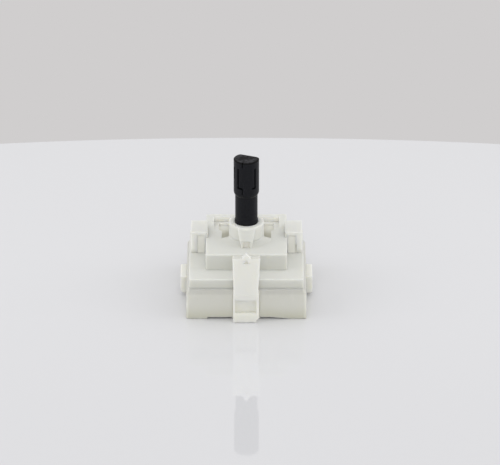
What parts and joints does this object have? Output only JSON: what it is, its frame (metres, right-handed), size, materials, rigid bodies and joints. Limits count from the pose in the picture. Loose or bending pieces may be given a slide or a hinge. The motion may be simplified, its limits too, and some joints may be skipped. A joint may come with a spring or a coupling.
{
  "type": "rotary selector switch",
  "caption": "Appliance rotary selector switch: white snap-together housing with a front panel latch, black sprung D shaft and rear tab terminals.",
  "frame": {"origin": "on the shaft's axis, in the plane of the base's underside, where the foot of the panel latch also ends", "axes": "+Z along the shaft towards its knob end; -Y towards the panel latch; +Y towards the tab terminals; +X to the right as seen from the latch"},
  "size_m": [0.034, 0.0381, 0.0377],
  "materials": {
    "white_plastic": "satin, lightly worn moulded plastic",
    "black_plastic": "satin black moulded plastic",
    "natural_plastic": "natural acetal, satin",
    "tinned_brass": "stamped and tinned, satin",
    "bronze": "spring bronze strip, satin",
    "steel": "bright steel"
  },
  "bodies": {
    "housing": {"base": "white_plastic", "cover": "white_plastic", "terminal_clamp": "natural_plastic", "contact_common": "tinned_brass", "contact_front_left": "tinned_brass", "contact_front_right": "tinned_brass", "contact_rear_left": "tinned_brass", "contact_rear_right": "tinned_brass", "detent_spring_front": "steel", "detent_spring_rear": "steel"},
    "rotor": {"shaft": "black_plastic", "wiper_carrier": "natural_plastic", "detent_wheel": "natural_plastic", "thrust_washer": "natural_plastic", "retaining_clip": "steel", "wiper_1": "bronze", "wiper_2": "bronze", "wiper_3": "bronze"},
    "front_ball": {"detent_ball_front": "steel"},
    "rear_ball": {"detent_ball_rear": "steel"}
  },
  "joints": [
    {"name": "shaft_turn", "type": "hinge", "parent": "housing", "child": "rotor", "pos_m": [0, 0, 0], "axis": [0, 0, 1], "continuous": true},
    {"name": "front_ball_lift", "type": "slide", "parent": "housing", "child": "front_ball", "axis": [0, 0, 1], "range_m": [0, 0.0007], "stiffness_N_per_m": 400, "springref_m": -0.001, "deforming": ["detent_spring_front"]},
    {"name": "rear_ball_lift", "type": "slide", "parent": "housing", "child": "rear_ball", "axis": [0, 0, 1], "range_m": [0, 0.0007], "stiffness_N_per_m": 400, "springref_m": -0.001, "deforming": ["detent_spring_rear"]}
  ]
}
